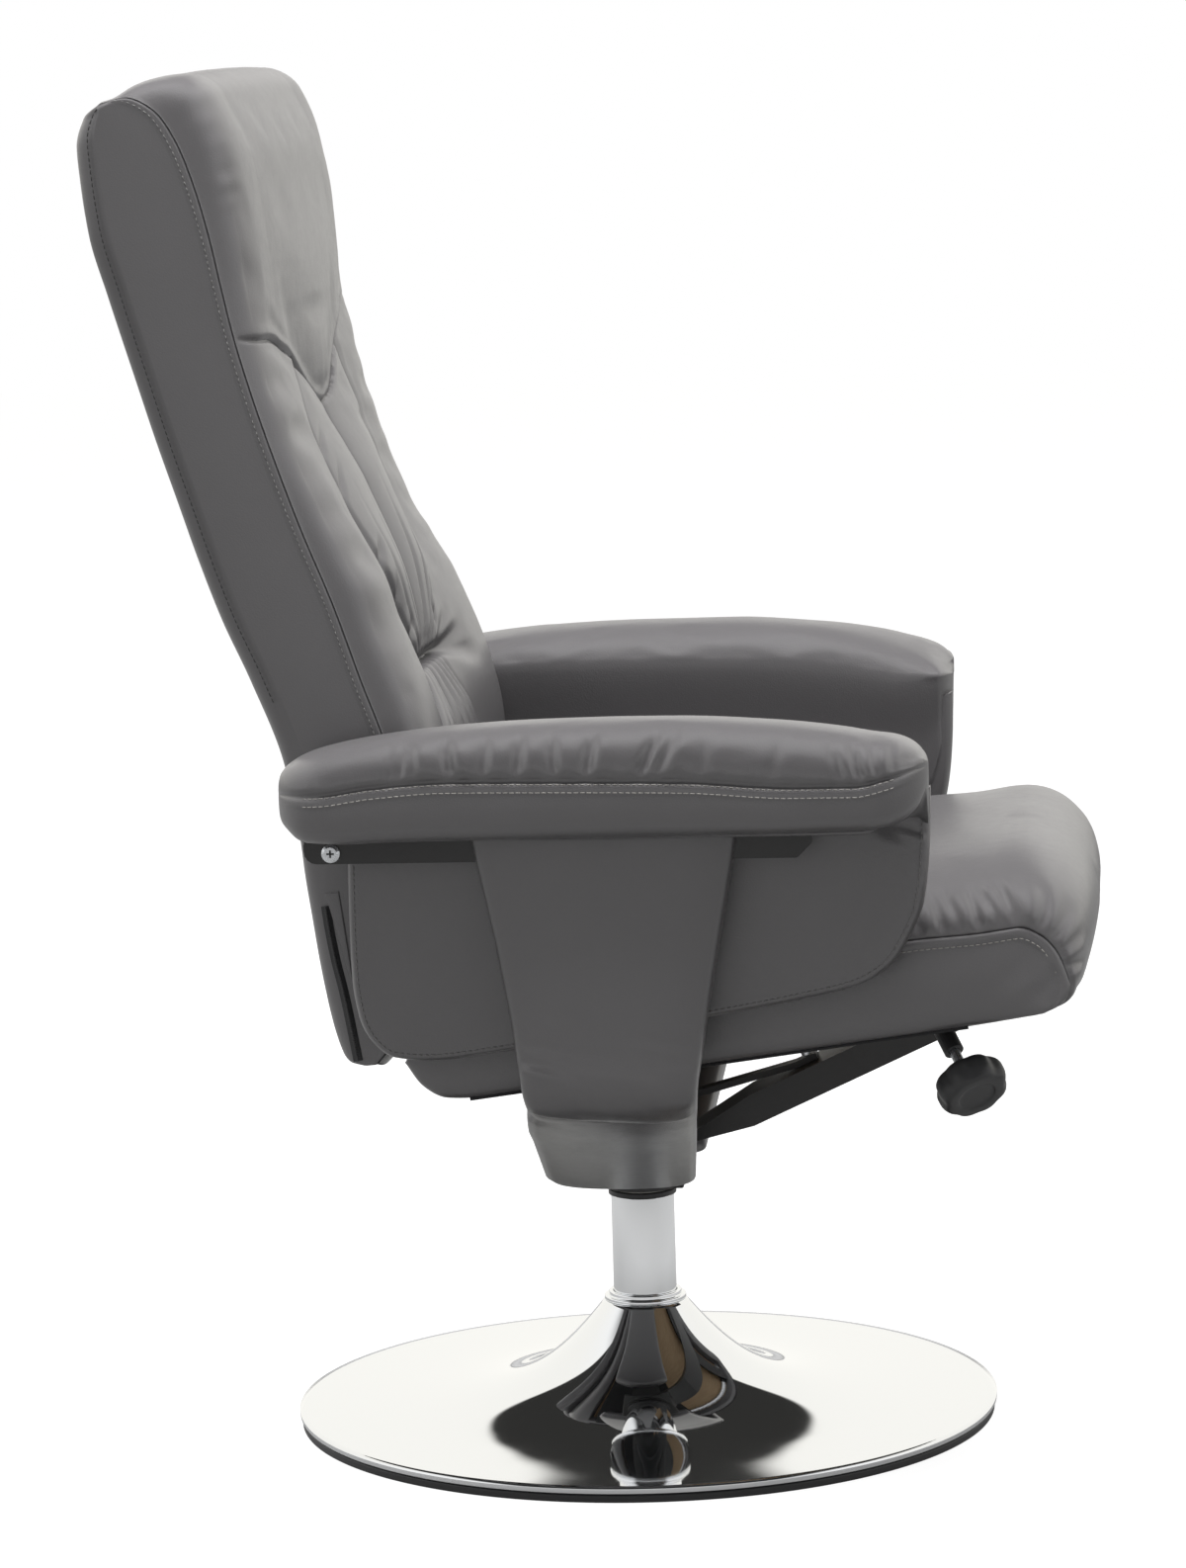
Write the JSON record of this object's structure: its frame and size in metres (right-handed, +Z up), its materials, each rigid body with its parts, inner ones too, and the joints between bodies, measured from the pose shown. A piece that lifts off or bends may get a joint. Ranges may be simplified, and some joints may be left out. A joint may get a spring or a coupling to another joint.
{
  "type": "swivel recliner armchair",
  "caption": "Upholstered swivel recliner with a high back, padded arms on a bent yoke, a sliding seat locked by a hand knob, and a round chrome pedestal.",
  "frame": {"origin": "on the floor, on the swivel axis of the pedestal", "axes": "+X the way the sitter faces, +Y to the sitter's left, +Z up"},
  "size_m": [0.7374, 0.7366, 1.063],
  "materials": {
    "grey_leather": "fine grained grey upholstery leather, satin",
    "chrome": "bright chrome plate",
    "black_steel": "black powder coat",
    "black_plastic": "moulded, satin",
    "zinc": "bright zinc plate",
    "plywood": "raw sanded",
    "nylon": "natural, waxy",
    "black_cloth": "thin black lining cloth"
  },
  "bodies": {
    "base": {"base_dome": "chrome", "base_floor_ring": "black_plastic", "foot_plate": "black_steel", "column_tube": "chrome", "column_plug": "zinc", "column_bolt": "zinc", "column_collar": "chrome", "column_bush": "black_plastic"},
    "yoke": {"swivel_spindle": "zinc", "thrust_washer": "nylon", "hub_boss": "black_steel", "hub_plate": "black_steel", "yoke_bar_R": "black_steel", "yoke_bar_L": "black_steel", "leg_cover_R": "grey_leather", "leg_cover_L": "grey_leather", "arm_rail_R": "black_steel", "arm_rail_L": "black_steel", "arm_board_R": "plywood", "arm_board_L": "plywood", "arm_pad_R": "grey_leather", "arm_pad_L": "grey_leather", "side_panel_R": "grey_leather", "side_panel_L": "grey_leather", "cross_bar": "black_steel", "slide_shoe_R": "black_plastic", "slide_shoe_L": "black_plastic", "seat_strut": "black_steel", "strut_brace": "black_steel", "brace_bolt": "zinc", "clamp_ferrule": "black_plastic"},
    "seat": {"seat_cushion": "grey_leather", "seat_board": "plywood", "slide_rail_R": "zinc", "slide_rail_L": "zinc", "dust_cover": "black_cloth"},
    "back": {"back_cushion": "grey_leather", "back_cover": "grey_leather", "back_stile_R": "black_steel", "back_stile_L": "black_steel", "back_rail_low": "black_steel", "back_rail_middle": "black_steel", "back_rail_top": "black_steel", "pivot_plate_R": "black_steel", "pivot_plate_L": "black_steel", "pivot_spacer_R": "zinc", "pivot_spacer_L": "zinc", "pivot_screw_R": "zinc", "pivot_screw_L": "zinc", "cover_zip_R": "black_plastic", "cover_zip_L": "black_plastic"},
    "knob": {"clamp_knob": "black_plastic", "clamp_rod": "zinc"}
  },
  "joints": [
    {"name": "swivel", "type": "hinge", "parent": "base", "child": "yoke", "pos_m": [0, 0, 0.181], "axis": [0, 0, 1], "continuous": true},
    {"name": "recline", "type": "hinge", "parent": "yoke", "child": "back", "pos_m": [-0.191, 0, 0.501], "axis": [0, -1, 0], "range_deg": [0, 25]},
    {"name": "seat_slide", "type": "slide", "parent": "yoke", "child": "seat", "axis": [0.991, 0, 0.134], "range_m": [0, 0.075]},
    {"name": "clamp_turn", "type": "hinge", "parent": "yoke", "child": "knob", "pos_m": [0.2557, -0.211, 0.3278], "axis": [0.3939, -0.6499, -0.6499], "range_deg": [0, 360]}
  ],
  "couplings": [
    {"joint": "seat_slide", "follows": "recline", "m_per_rad": 0.165}
  ]
}
